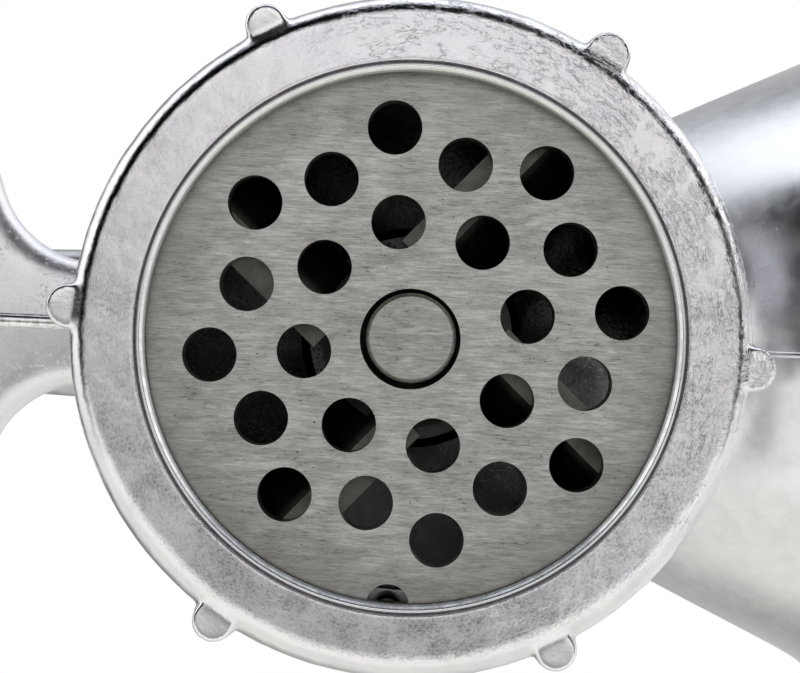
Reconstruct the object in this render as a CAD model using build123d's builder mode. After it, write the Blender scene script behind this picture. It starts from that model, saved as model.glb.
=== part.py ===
from build123d import *
import os

# Hand crank meat grinder with a table clamp, in millimetres.
# The origin is the middle of the upper jaw's rubber underside, on the clamp screw's axis.
# +Z is up, -Y is the way the minced meat leaves, and the crank is at the +Y end.

# ---- Driving dimensions -------------------------------------------------------------------

AXIS_Z = 67.0  # the barrel axis above the table top
FRONT_Y = -52.0  # the cutting plate's front face

# Cutting plate and its holes
PLATE_R = 31.0
PLATE_THICK = 7.0
PLATE_BORE_R = 5.53
PLATE_BORE_SHIFT = (0.12, -0.08)  # how far the bore was drilled off the axis
HOLE_R = 3.0
HOLES_PER_RING = 8
HOLE_RINGS = ((12.40, 101.3), (19.33, 121.1), (22.74, 98.3))  # radius, angle of one hole
PATTERN_SHIFT = (-0.48, 0.50)  # how far the hole pattern was drilled off the axis
KEY_ANGLE = -2.5
NOTCH_R = 2.4
NOTCH_CENTRE_R = 29.5
KEY_R = 1.8
KEY_CENTRE_R = 30.2

# Ring nut
RING_OPENING_R = 28.9
RING_LIP = 3.0
RING_BACK = 19.0  # its back edge, behind the plate's front face
RING_BORE_R = 34.6
RING_FACE_R = 35.4
RING_R = 37.4
LUGS = 6
LUG_ANGLE = 87.5
LUG_CENTRE_R = 37.7
LUG_FRONT_R = 2.35
LUG_BACK_R = 3.0

# Barrel
BORE_R = 28.0
BARREL_R = 32.5
NECK_R = 33.0
THREAD_R = 34.3
THREAD_PITCH = 3.0
THREAD_LENGTH = 12.0
THREAD_ROOT_HALF = 1.2
THREAD_CREST_HALF = 0.4
SEAT_R = 31.15  # the recess that the plate sits in
MOUTH_Y = FRONT_Y + 1.5
SEAT_Y = FRONT_Y + 9.0
REAR_WALL_Y = FRONT_Y + 88.0
HUB_Y = FRONT_Y + 112.0
HUB_R = 17.0
BUSH_R = 12.0
COLLAR_FRONT_Y = FRONT_Y + 20.5  # the collar that stops the ring nut
COLLAR_BACK_Y = FRONT_Y + 24.0
COLLAR_PROUD = 2.0
BORE_GROOVES = 6
GROOVE_R = 1.6
GROOVE_ANGLE = 30.0
KEY_DEPTH = 4.0

# Hopper, as ellipses at heights above the barrel axis: height, half width, half length
HOPPER_Y = FRONT_Y + 58.0
HOPPER_WALL = 3.2
NECK_SECTIONS = ((10.0, 19.1, 17.8), (49.0, 37.5, 38.0))
DISH_SECTIONS = (
    (49.0, 37.5, 38.0),
    (57.0, 44.8, 46.5),
    (66.0, 51.5, 54.5),
    (76.0, 54.5, 58.3),
    (84.0, 56.0, 60.0),
)
RIM_HEIGHT = 84.0
RIM_BAND = 4.5
RIM_PROUD = 2.2

# Leg, foot and clamp frame
LEG_HALF = 7.2
LEG_FRONT_Y = FRONT_Y + 33.0
LEG_BACK_Y = 30.0
LEG_RIB = 7.0  # thickness of the flared rib at the leg's front
LEG_WEB_HALF = 6.0
LEG_FLARE_R = 12.0
LEG_FLARE_DROP = 50.0  # how far below the barrel axis the flare ends
BEAD_WIDTH = 2.9
BEAD_DEPTH = 4.4
FOOT_HALF = 31.0
FOOT_TOP_Z = 10.0
FOOT_Z = 1.5
FOOT_FRONT_Y = -28.0
FOOT_BACK_Y = 46.0
FOOT_CORNER_R = 9.0
RUBBER_CORNER_R = 4.0
JAW_RUBBER = (50.0, 40.0, 3.5)
SPINE_HALF = 9.0
SPINE_FRONT_Y = 30.0
SPINE_BACK_Y = 46.0
JAW_TOP_Z = -49.0
JAW_BOTTOM_Z = -66.0
BOSS_R = 13.0
BOSS_BOTTOM_Z = JAW_BOTTOM_Z - 3.0
BOSS_LENGTH = 22.0
FRAME_CORNER_R = 14.0
FRAME_INNER_R = 6.0
WEB_HALF = 3.5
FLANGE = 4.0  # width of the border left around the web

# Clamp screw, pad and tommy bar
CLAMP_PITCH = 3.0
CLAMP_MAJOR_R = 6.0
CLAMP_MINOR_R = 4.6
CLAMP_NUT_R = 6.15
PAD_TOP_Z = -34.0
PAD_R = 16.0
HEAD_TOP_Z = -100.0
HEAD_LENGTH = 16.0
HEAD_R = 9.0
TOMMY_R = 3.0
TOMMY_LENGTH = 76.0

# Feed screw, knife and drive stud
STUD_NOSE_R = 4.95
STUD_SQUARE = 10.0
STUD_THREAD_R = 5.0
KNIFE_GAP = 0.1
KNIFE_THICK = 7.5
KNIFE_R = 26.8
KNIFE_HUB_R = 10.0
KNIFE_ARMS = 4
KNIFE_ANGLE = 137.6
SCREW_FRONT_Y = FRONT_Y + 15.1
SCREW_BACK_Y = FRONT_Y + 86.0
FLIGHT_R = 27.3
FLIGHT_PITCH = 26.0
CORE_R = 10.0
JOURNAL_R = 8.95
BUSH_BORE_R = 9.0
DRIVE_SQUARE = 12.0
FLANGE_R = 16.0  # the feed screw's thrust flange and the washer behind it
THRUST_WASHER_THICK = 1.7
FLIGHT_ROOT_HALF = 2.8
FLIGHT_TIP_HALF = 1.2
STUD_HOLE_DEPTH = 22.0
STUD_TAIL = 20.0

# Crank and grip
CRANK_FRONT_Y = HUB_Y + 1.0
CRANK_HUB_LENGTH = 14.0
CRANK_HUB_R = 15.0
CRANK_RADIUS = 150.0
ARM_THICK = 9.0
ARM_TOP_HALF = 11.8
ARM_END_HALF = 7.8
ARM_OFFSET = 10.0  # how far the arm steps back between its hub and its grip end
GRIP_BOSS_R = 11.0
BOSS_PROUD = 0.8
GRIP_PIN_R = 4.0
GRIP_LENGTH = 90.0
GRIP_R = 15.0
GRIP_POCKET_R = 8.6  # sunk in the grip's end for the pin's head
GRIP_POCKET_DEPTH = 6.0
FERRULE_LENGTH = 13.0
FERRULE_R = 11.6
FERRULE_WALL = 0.9
ARM_FLANK_FILLET = 2.6
ARM_BEND_FILLET = 16.0
THUMB_THREAD_R = 4.0
THUMB_HOLE_DEPTH = 20.0
THUMB_SHANK = 17.0
THUMB_COLLAR_R = 7.5
THUMB_COLLAR_LENGTH = 7.0
THUMB_WING_HALF = 2.6
THUMB_WASHER_R = 10.0
THUMB_WASHER_THICK = 1.6

RUNNING_GAP = 0.08

# ---- Planes and axes ----------------------------------------------------------------------

BARREL_AXIS = Axis((0, 0, AXIS_Z), (0, 1, 0))
FORWARD = Axis((0, 0, 0), (0, -1, 0))
BARREL_SIDE = Plane(origin=(0, 0, AXIS_Z), x_dir=(0, 1, 0), z_dir=(1, 0, 0))
GRIP_Z = AXIS_Z - CRANK_RADIUS
GRIP_AXIS = Axis((0, 0, GRIP_Z), (0, 1, 0))
GRIP_SIDE = Plane(origin=(0, 0, GRIP_Z), x_dir=(0, 1, 0), z_dir=(1, 0, 0))


def front_view(y, z=AXIS_Z):
    """A plane across Y that faces forward: local x is +X and local y is +Z."""
    return Plane(origin=(0, y, z), x_dir=(1, 0, 0), z_dir=(0, -1, 0))


def level(z, y=0.0):
    """A plane across Z that faces up, centred over this y."""
    return Plane(origin=(0, y, z), x_dir=(1, 0, 0), z_dir=(0, 0, 1))


def save(builder, name):
    """Labels a finished piece and writes it to its own file."""
    builder.part.label = name
    export_step(builder.part, f"parts/{name}.step")


os.makedirs("parts", exist_ok=True)

# ---- Body casting: barrel, hopper, leg, foot and clamp frame in one piece -------------------

with BuildPart() as body_casting:
    # Barrel with the neck for the ring nut, a stop collar and the rear hub.
    with BuildSketch(BARREL_SIDE):
        with BuildLine():
            Polyline(
                (MOUTH_Y, 0),
                (MOUTH_Y, NECK_R - 0.8),
                (MOUTH_Y + 0.8, NECK_R),
                (COLLAR_FRONT_Y, NECK_R),
                (COLLAR_FRONT_Y, NECK_R + COLLAR_PROUD),
                (COLLAR_BACK_Y, NECK_R + COLLAR_PROUD),
                (COLLAR_BACK_Y + 2, BARREL_R),
                (REAR_WALL_Y, BARREL_R),
                (REAR_WALL_Y + 8, BARREL_R - 8),
                (REAR_WALL_Y + 10, HUB_R),
                (HUB_Y - 1, HUB_R),
                (HUB_Y, HUB_R - 1),
                (HUB_Y, 0),
                close=True,
            )
        make_face()
    revolve(axis=BARREL_AXIS)

    # Leg: a rib in front, swept out towards the foot at the bottom, and a plain web behind it.
    leg_top = -BORE_R - 1
    leg_bottom = FOOT_TOP_Z - 1 - AXIS_Z
    flare_top = LEG_FLARE_R - LEG_FLARE_DROP
    flare_x = LEG_HALF + LEG_FLARE_R
    with BuildSketch(front_view(LEG_FRONT_Y + LEG_RIB)):
        with BuildLine():
            Line((0, leg_top), (LEG_HALF, leg_top))
            Line((LEG_HALF, leg_top), (LEG_HALF, flare_top))
            RadiusArc((LEG_HALF, flare_top), (flare_x, -LEG_FLARE_DROP), -LEG_FLARE_R)
            Line((flare_x, -LEG_FLARE_DROP), (flare_x, leg_bottom))
            Line((flare_x, leg_bottom), (0, leg_bottom))
            mirror(about=Plane.YZ)
        make_face()
    extrude(amount=LEG_RIB)
    with BuildSketch(level(FOOT_TOP_Z - 1, (LEG_FRONT_Y + LEG_BACK_Y) / 2)):
        Rectangle(2 * LEG_WEB_HALF, LEG_BACK_Y - LEG_FRONT_Y - 2)
    extrude(amount=leg_top - leg_bottom)

    # Foot: a flat plate with rounded corners, the clamp's upper jaw.
    foot_middle_y = (FOOT_FRONT_Y + FOOT_BACK_Y) / 2
    with BuildSketch(level(FOOT_Z, foot_middle_y)):
        RectangleRounded(2 * FOOT_HALF, FOOT_BACK_Y - FOOT_FRONT_Y, FOOT_CORNER_R)
    extrude(amount=FOOT_TOP_Z - FOOT_Z)
    fillet(body_casting.edges().group_by(Axis.Z)[0], 1.0)

    # Raised bead down the leg's front edge.
    with BuildSketch(level(FOOT_TOP_Z - 1, LEG_FRONT_Y)):
        RectangleRounded(BEAD_WIDTH, BEAD_DEPTH, 1.2)
    extrude(amount=AXIS_Z - BORE_R - FOOT_TOP_Z)

    # Clamp frame: a C with a boss for the clamp screw.
    with BuildSketch(Plane.YZ) as frame_outline:
        Polygon(
            (SPINE_FRONT_Y - 8, FOOT_TOP_Z - 1),
            (SPINE_BACK_Y, FOOT_TOP_Z - 1),
            (SPINE_BACK_Y, JAW_BOTTOM_Z),
            (-BOSS_R + 6, JAW_BOTTOM_Z),
            (-BOSS_R + 6, JAW_TOP_Z - 4),
            (SPINE_FRONT_Y, JAW_TOP_Z),
            (SPINE_FRONT_Y, FOOT_Z + 1),
            (SPINE_FRONT_Y - 8, FOOT_Z + 1),
            align=None,
        )
        fillet(frame_outline.vertices().sort_by_distance((SPINE_BACK_Y, JAW_BOTTOM_Z))[0], FRAME_CORNER_R)
        fillet(frame_outline.vertices().sort_by_distance((SPINE_FRONT_Y, JAW_TOP_Z))[0], FRAME_INNER_R)
    extrude(amount=SPINE_HALF, both=True)
    with BuildSketch(level(BOSS_BOTTOM_Z)):
        Circle(BOSS_R)
    extrude(amount=BOSS_LENGTH)

    # Hopper: an oval neck that opens into a wide dish with a thickened rim.
    for sections in (NECK_SECTIONS, DISH_SECTIONS):
        for height, half_x, half_y in sections:
            with BuildSketch(level(AXIS_Z + height, HOPPER_Y)):
                Ellipse(half_x, half_y)
        loft()
    rim_x, rim_y = DISH_SECTIONS[-1][1:]
    with BuildSketch(level(AXIS_Z + RIM_HEIGHT - RIM_BAND, HOPPER_Y)):
        Ellipse(rim_x + RIM_PROUD, rim_y + RIM_PROUD)
    extrude(amount=RIM_BAND)

    # Inside of the hopper.
    for sections in (NECK_SECTIONS, DISH_SECTIONS):
        for height, half_x, half_y in sections:
            with BuildSketch(level(AXIS_Z + height, HOPPER_Y)):
                Ellipse(half_x - HOPPER_WALL, half_y - HOPPER_WALL)
        loft(mode=Mode.SUBTRACT)

    # Barrel bore, plate recess and bush hole.
    with BuildSketch(BARREL_SIDE):
        with BuildLine():
            Polyline(
                (MOUTH_Y, 0),
                (MOUTH_Y, SEAT_R),
                (SEAT_Y, SEAT_R),
                (SEAT_Y, BORE_R),
                (REAR_WALL_Y, BORE_R),
                (REAR_WALL_Y, BUSH_R),
                (HUB_Y, BUSH_R),
                (HUB_Y, 0),
                close=True,
            )
        make_face()
    revolve(axis=BARREL_AXIS, mode=Mode.SUBTRACT)

    # Shallow feed grooves along the bore, which stop the meat turning with the screw.
    with BuildSketch(front_view(REAR_WALL_Y - 4)):
        with PolarLocations(BORE_R, BORE_GROOVES, start_angle=GROOVE_ANGLE):
            Circle(GROOVE_R)
    extrude(amount=REAR_WALL_Y - 4 - SEAT_Y, mode=Mode.SUBTRACT)

    # Hole for the plate key, in the wall of the recess.
    with BuildSketch(front_view(SEAT_Y + KEY_DEPTH)):
        with PolarLocations(KEY_CENTRE_R, 1, start_angle=KEY_ANGLE):
            Circle(KEY_R)
    extrude(amount=SEAT_Y + KEY_DEPTH - MOUTH_Y, mode=Mode.SUBTRACT)

    # Clamp screw hole, and the recess for the rubber in the foot.
    with BuildSketch(level(BOSS_BOTTOM_Z)):
        Circle(CLAMP_NUT_R)
    extrude(amount=BOSS_LENGTH, mode=Mode.SUBTRACT)
    with BuildSketch(level(FOOT_Z)):
        RectangleRounded(JAW_RUBBER[0], JAW_RUBBER[1], RUBBER_CORNER_R)
    extrude(amount=JAW_RUBBER[2] - FOOT_Z, mode=Mode.SUBTRACT)

    # Pockets on both sides of the clamp frame, which leave a web in the middle.
    for side in (-1, 1):
        with BuildSketch(Plane.YZ.offset(side * WEB_HALF)) as pocket:
            Polygon(
                (SPINE_FRONT_Y + FLANGE, FOOT_Z - FLANGE),
                (SPINE_BACK_Y - FLANGE, FOOT_Z - FLANGE),
                (SPINE_BACK_Y - FLANGE, JAW_BOTTOM_Z + FLANGE + 7),
                (SPINE_BACK_Y - FLANGE - 7, JAW_BOTTOM_Z + FLANGE),
                (BOSS_R + 3, JAW_BOTTOM_Z + FLANGE),
                (BOSS_R + 3, JAW_TOP_Z - 6),
                (SPINE_FRONT_Y + FLANGE, JAW_TOP_Z - 3),
                align=None,
            )
            fillet(pocket.vertices(), 1.5)
        extrude(amount=side * SPINE_HALF, mode=Mode.SUBTRACT)

    # Thread for the ring nut.
    thread_y = MOUTH_Y + 2.5
    with BuildLine() as thread_path:
        Helix(
            THREAD_PITCH,
            THREAD_LENGTH,
            NECK_R,
            center=(0, thread_y, AXIS_Z),
            direction=(0, 1, 0),
        )
    with BuildSketch(BARREL_SIDE):
        with BuildLine():
            Polyline(
                (thread_y - THREAD_ROOT_HALF, NECK_R - 0.2),
                (thread_y - THREAD_CREST_HALF, THREAD_R),
                (thread_y + THREAD_CREST_HALF, THREAD_R),
                (thread_y + THREAD_ROOT_HALF, NECK_R - 0.2),
                close=True,
            )
        make_face()
    sweep(path=thread_path.line, is_frenet=True)
save(body_casting, "body_casting")

# ---- Fixed pieces in the casting ------------------------------------------------------------

with BuildPart() as rear_bush:
    with BuildSketch(front_view(HUB_Y)):
        Circle(BUSH_R - 0.01)
        Circle(BUSH_BORE_R, mode=Mode.SUBTRACT)
    extrude(amount=HUB_Y - REAR_WALL_Y - 0.5)
    chamfer(rear_bush.edges().filter_by(GeomType.CIRCLE).group_by(SortBy.RADIUS)[0], 0.5)
save(rear_bush, "rear_bush")

with BuildPart() as thrust_washer:
    with BuildSketch(front_view(REAR_WALL_Y - 0.1)):
        Circle(FLANGE_R)
        Circle(JOURNAL_R + 0.3, mode=Mode.SUBTRACT)
    extrude(amount=THRUST_WASHER_THICK)
    chamfer(thrust_washer.edges(), 0.2)
save(thrust_washer, "thrust_washer")

with BuildPart() as plate_key:
    with BuildSketch(front_view(SEAT_Y + KEY_DEPTH)):
        with PolarLocations(KEY_CENTRE_R, 1, start_angle=KEY_ANGLE):
            Circle(KEY_R)
    extrude(amount=SEAT_Y + KEY_DEPTH - 0.5 - MOUTH_Y)
    chamfer(plate_key.edges().group_by(Axis.Y)[0], 0.4)
save(plate_key, "plate_key")

with BuildPart() as jaw_rubber:
    with BuildSketch(level(0)):
        RectangleRounded(JAW_RUBBER[0] - 0.1, JAW_RUBBER[1] - 0.1, RUBBER_CORNER_R)
    extrude(amount=JAW_RUBBER[2])
    chamfer(jaw_rubber.edges().group_by(Axis.Z)[0], 0.6)
save(jaw_rubber, "jaw_rubber")

# ---- Cutting plate --------------------------------------------------------------------------

with BuildPart() as cutting_plate:
    with BuildSketch(front_view(FRONT_Y + PLATE_THICK)):
        Circle(PLATE_R)
        with Locations(PLATE_BORE_SHIFT):
            Circle(PLATE_BORE_R, mode=Mode.SUBTRACT)
        with Locations(PATTERN_SHIFT):
            for ring_r, ring_angle in HOLE_RINGS:
                with PolarLocations(ring_r, HOLES_PER_RING, start_angle=ring_angle):
                    Circle(HOLE_R, mode=Mode.SUBTRACT)
        with PolarLocations(NOTCH_CENTRE_R, 1, start_angle=KEY_ANGLE):
            Circle(NOTCH_R, mode=Mode.SUBTRACT)
        with PolarLocations(NOTCH_CENTRE_R + 2, 1, start_angle=KEY_ANGLE):
            Rectangle(4, 2 * NOTCH_R, mode=Mode.SUBTRACT)
    extrude(amount=PLATE_THICK)
save(cutting_plate, "cutting_plate")

# ---- Ring nut -------------------------------------------------------------------------------

with BuildPart() as ring_nut:
    face_y = FRONT_Y - RING_LIP
    with BuildSketch(BARREL_SIDE):
        with BuildLine():
            Polyline(
                (FRONT_Y - 0.05, RING_OPENING_R),
                (face_y + 0.8, RING_OPENING_R),
                (face_y, RING_OPENING_R + 0.8),
                (face_y, RING_OPENING_R + 1.0),
                (face_y + 0.3, RING_OPENING_R + 1.15),
                (face_y, RING_OPENING_R + 1.35),
                (face_y, RING_FACE_R),
            )
            RadiusArc((face_y, RING_FACE_R), (face_y + 1.9, RING_R - 0.1), 1.9)
            Polyline(
                (face_y + 1.9, RING_R - 0.1),
                (face_y + 8, RING_R),
                (FRONT_Y + RING_BACK - 1, RING_R),
                (FRONT_Y + RING_BACK, RING_R - 1),
                (FRONT_Y + RING_BACK, RING_BORE_R),
                (FRONT_Y - 0.05, RING_BORE_R),
                (FRONT_Y - 0.05, RING_OPENING_R),
            )
        make_face()
    revolve(axis=BARREL_AXIS)
    # Grip lugs: tapered half-round ribs, a little wider at the back.
    lug_length = RING_BACK - 1 + RING_LIP - 1.3
    with Locations(front_view(FRONT_Y + RING_BACK - 1)):
        with PolarLocations(LUG_CENTRE_R, LUGS, start_angle=LUG_ANGLE):
            Cone(LUG_BACK_R, LUG_FRONT_R, lug_length, align=(Align.CENTER, Align.CENTER, Align.MIN))
save(ring_nut, "ring_nut")

# ---- Feed screw, knife and drive stud, which turn with the crank ------------------------------

with BuildPart() as feed_screw:
    # Core, thrust flange and journal, turned about the barrel axis.
    with BuildSketch(BARREL_SIDE):
        with BuildLine():
            Polyline(
                (SCREW_FRONT_Y, 0),
                (SCREW_FRONT_Y, CORE_R + 1.5),
                (SCREW_FRONT_Y + 1, CORE_R + 2.5),
                (SCREW_BACK_Y - 8, CORE_R),
                (SCREW_BACK_Y - 2, FLANGE_R),
                (SCREW_BACK_Y, FLANGE_R),
                (SCREW_BACK_Y, JOURNAL_R),
                (HUB_Y + 0.3, JOURNAL_R),
                (HUB_Y + 0.3, 0),
                close=True,
            )
        make_face()
    revolve(axis=BARREL_AXIS)
    # Square end for the crank.
    with BuildSketch(front_view(CRANK_FRONT_Y + CRANK_HUB_LENGTH - 1)):
        Rectangle(DRIVE_SQUARE, DRIVE_SQUARE)
    extrude(amount=CRANK_HUB_LENGTH)
    # Left-hand flight: it carries the meat forward as the crank turns clockwise.
    flight_y = SCREW_FRONT_Y + 3
    with BuildLine() as flight_path:
        Helix(
            FLIGHT_PITCH,
            SCREW_BACK_Y - 12 - flight_y,
            CORE_R,
            center=(0, flight_y, AXIS_Z),
            direction=(0, 1, 0),
            lefthand=True,
        )
    with BuildSketch(BARREL_SIDE):
        with BuildLine():
            Polyline(
                (flight_y - FLIGHT_ROOT_HALF, CORE_R - 2),
                (flight_y - FLIGHT_TIP_HALF, FLIGHT_R),
                (flight_y + FLIGHT_TIP_HALF, FLIGHT_R),
                (flight_y + FLIGHT_ROOT_HALF, CORE_R - 2),
                close=True,
            )
        make_face()
    sweep(path=flight_path.line, is_frenet=True)
    # Tapped holes for the drive stud in front and the thumb screw behind.
    with BuildSketch(front_view(SCREW_FRONT_Y)):
        Circle(STUD_THREAD_R + 0.02)
    extrude(amount=-STUD_HOLE_DEPTH, mode=Mode.SUBTRACT)
    with BuildSketch(front_view(CRANK_FRONT_Y + CRANK_HUB_LENGTH - 1)):
        Circle(THUMB_THREAD_R + 0.1)
    extrude(amount=THUMB_HOLE_DEPTH, mode=Mode.SUBTRACT)
save(feed_screw, "feed_screw")

knife_front_y = FRONT_Y + PLATE_THICK + KNIFE_GAP
with BuildPart() as knife:
    with BuildSketch(front_view(knife_front_y + KNIFE_THICK)):
        Circle(KNIFE_HUB_R)
    extrude(amount=KNIFE_THICK - 0.9)
    # Each arm has a narrow cutting land on its leading side and falls away behind it.
    for arm in range(KNIFE_ARMS):
        along = Vector(1, 0, 0).rotate(FORWARD, KNIFE_ANGLE + arm * 360 / KNIFE_ARMS)
        leading = along.rotate(FORWARD, 90)
        arm_section = Plane(origin=(0, knife_front_y, AXIS_Z), x_dir=leading, z_dir=along)
        with BuildSketch(arm_section.offset(KNIFE_HUB_R - 3)):
            with BuildLine():
                Polyline(
                    (8.4, 0),
                    (4.1, 0),
                    (-1.0, -3.2),
                    (-1.0, -KNIFE_THICK),
                    (5.5, -KNIFE_THICK),
                    (7.2, -3.5),
                    close=True,
                )
            make_face()
        extrude(amount=KNIFE_R - KNIFE_HUB_R + 3)
    with BuildSketch(front_view(knife_front_y + KNIFE_THICK + 1)):
        Circle(KNIFE_R)
    extrude(amount=KNIFE_THICK + 2, mode=Mode.INTERSECT)
    with BuildSketch(front_view(knife_front_y + KNIFE_THICK + 1)):
        Rectangle(STUD_SQUARE + 0.2, STUD_SQUARE + 0.2)
    extrude(amount=KNIFE_THICK + 2, mode=Mode.SUBTRACT)
save(knife, "knife")

with BuildPart() as drive_stud:
    # Round nose that runs in the plate, a square for the knife and a threaded tail.
    square_back_y = SCREW_FRONT_Y - 0.05
    with BuildSketch(front_view(FRONT_Y + PLATE_THICK + 0.5)):
        Circle(STUD_NOSE_R)
    extrude(amount=PLATE_THICK + 0.5)
    chamfer(drive_stud.edges().group_by(Axis.Y)[0], 0.4)
    with BuildSketch(front_view(square_back_y)):
        Rectangle(STUD_SQUARE, STUD_SQUARE)
    extrude(amount=square_back_y - FRONT_Y - PLATE_THICK - 0.15)
    chamfer(drive_stud.edges().filter_by(Axis.Y).filter_by(GeomType.LINE), 0.5)
    with BuildSketch(front_view(square_back_y)):
        Circle(STUD_THREAD_R)
    extrude(amount=-STUD_TAIL)
    chamfer(drive_stud.edges().group_by(Axis.Y)[-1], 0.8)
save(drive_stud, "drive_stud")

# ---- Crank arm and its screw ------------------------------------------------------------------

crank_back_y = CRANK_FRONT_Y + CRANK_HUB_LENGTH
arm_top_y = CRANK_FRONT_Y + (CRANK_HUB_LENGTH - ARM_THICK) / 2
arm_end_y = arm_top_y + ARM_OFFSET
arm_back_y = arm_end_y + ARM_THICK + BOSS_PROUD
with BuildPart() as crank_arm:
    # Outline from the front: it tapers from the hub to the grip end.
    with BuildSketch(front_view(arm_end_y + ARM_THICK + 2)):
        with BuildLine():
            Polyline(
                (-ARM_TOP_HALF, 0),
                (-ARM_END_HALF, -CRANK_RADIUS),
                (ARM_END_HALF, -CRANK_RADIUS),
                (ARM_TOP_HALF, 0),
                close=True,
            )
        make_face()
    extrude(amount=ARM_OFFSET + 2 * ARM_THICK)
    # Outline from the side: it steps back, so that the grip clears the clamp.
    with BuildSketch(BARREL_SIDE) as side_outline:
        with BuildLine():
            Polyline(
                (arm_top_y, 12),
                (arm_top_y, -30),
                (arm_end_y, -66),
                (arm_end_y, -CRANK_RADIUS - 20),
                (arm_end_y + ARM_THICK, -CRANK_RADIUS - 20),
                (arm_end_y + ARM_THICK, -64),
                (arm_top_y + ARM_THICK, -28),
                (arm_top_y + ARM_THICK, 12),
                close=True,
            )
        make_face()
        fillet(side_outline.vertices().filter_by_position(Axis.Y, -70, -20), ARM_BEND_FILLET)
    extrude(amount=40, both=True, mode=Mode.INTERSECT)
    flanks = crank_arm.faces().filter_by(lambda face: abs(face.normal_at().X) > 0.9)
    fillet([edge for face in flanks for edge in face.edges() if abs((edge % 0.5).Z) > 0.1], ARM_FLANK_FILLET)
    # Round boss for the grip pin and hub around the square, each with chamfered rims.
    rounds = (
        (GRIP_SIDE, GRIP_AXIS, arm_end_y - BOSS_PROUD, arm_back_y, GRIP_BOSS_R, 0.6),
        (BARREL_SIDE, BARREL_AXIS, CRANK_FRONT_Y, crank_back_y, CRANK_HUB_R, 1.0),
    )
    for side_plane, axis, front, back, radius, rim in rounds:
        with BuildSketch(side_plane):
            with BuildLine():
                Polyline(
                    (front, 0),
                    (front, radius - rim),
                    (front + rim, radius),
                    (back - rim, radius),
                    (back, radius - rim),
                    (back, 0),
                    close=True,
                )
            make_face()
        revolve(axis=axis)
    with BuildSketch(front_view(crank_back_y + 1)):
        Rectangle(DRIVE_SQUARE + 0.2, DRIVE_SQUARE + 0.2)
    extrude(amount=CRANK_HUB_LENGTH + 2, mode=Mode.SUBTRACT)
    with BuildSketch(front_view(arm_back_y + 1, GRIP_Z)):
        Circle(GRIP_PIN_R + 0.01)
    extrude(amount=ARM_THICK + 4, mode=Mode.SUBTRACT)
save(crank_arm, "crank_arm")

with BuildPart() as thumb_washer:
    with BuildSketch(front_view(crank_back_y + THUMB_WASHER_THICK + 0.05)):
        Circle(THUMB_WASHER_R)
        Circle(THUMB_THREAD_R + 0.3, mode=Mode.SUBTRACT)
    extrude(amount=THUMB_WASHER_THICK)
    chamfer(thumb_washer.edges(), 0.2)
save(thumb_washer, "thumb_washer")

thumb_front_y = crank_back_y + THUMB_WASHER_THICK + 0.1
with BuildPart() as thumb_screw:
    # Collar that presses on the washer, then two wings for finger and thumb.
    with BuildSketch(front_view(thumb_front_y + THUMB_COLLAR_LENGTH)):
        Circle(THUMB_COLLAR_R)
    extrude(amount=THUMB_COLLAR_LENGTH)
    with BuildSketch(Plane.XY.offset(AXIS_Z)):
        with Locations((0, thumb_front_y + 10)):
            RectangleRounded(17, 14, 4)
        for side in (-1, 1):
            with Locations((side * 10.5, thumb_front_y + 13.5)):
                Ellipse(7, 8.5, rotation=-side * 25)
    extrude(amount=THUMB_WING_HALF, both=True)
    with BuildSketch(front_view(thumb_front_y + 1)):
        Circle(THUMB_THREAD_R)
    extrude(amount=THUMB_SHANK)
    chamfer(thumb_screw.edges().group_by(Axis.Y)[0], 0.7)
save(thumb_screw, "thumb_screw")

# ---- Grip on its pin --------------------------------------------------------------------------

grip_y = arm_back_y + 1.8
grip_end_y = grip_y + GRIP_LENGTH
pocket_y = grip_end_y - GRIP_POCKET_DEPTH

with BuildPart() as grip_pin:
    rivet_y = arm_end_y - BOSS_PROUD - 0.05
    with BuildSketch(GRIP_SIDE):
        with BuildLine():
            Polyline(
                (rivet_y - 1.6, 0),
                (rivet_y - 1.6, 4.6),
                (rivet_y, 5.8),
                (rivet_y, GRIP_PIN_R),
                (pocket_y + 1.3, GRIP_PIN_R),
                (pocket_y + 1.3, 7),
                (pocket_y + 3.2, 7),
                (pocket_y + 4.6, 4.2),
                (pocket_y + 4.6, 0),
                close=True,
            )
        make_face()
    revolve(axis=GRIP_AXIS)
save(grip_pin, "grip_pin")

with BuildPart() as grip_washers:
    for washer_y, washer_r in ((arm_back_y + 1.6, 9.5), (pocket_y + 1.2, 7.6)):
        with BuildSketch(front_view(washer_y, GRIP_Z)):
            Circle(washer_r)
            Circle(GRIP_PIN_R + 0.15, mode=Mode.SUBTRACT)
        extrude(amount=1.1)
save(grip_washers, "grip_washers")

with BuildPart() as grip_ferrule:
    with BuildSketch(GRIP_SIDE):
        with BuildLine():
            Polyline(
                (grip_y, GRIP_PIN_R + 0.4),
                (grip_y, FERRULE_R),
                (grip_y + 1, FERRULE_R + FERRULE_WALL),
                (grip_y + FERRULE_LENGTH, FERRULE_R + FERRULE_WALL),
                (grip_y + FERRULE_LENGTH, FERRULE_R),
                (grip_y + 1.2, FERRULE_R),
                (grip_y + 1.2, GRIP_PIN_R + 0.4),
                close=True,
            )
        make_face()
    revolve(axis=GRIP_AXIS)
save(grip_ferrule, "grip_ferrule")

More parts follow.
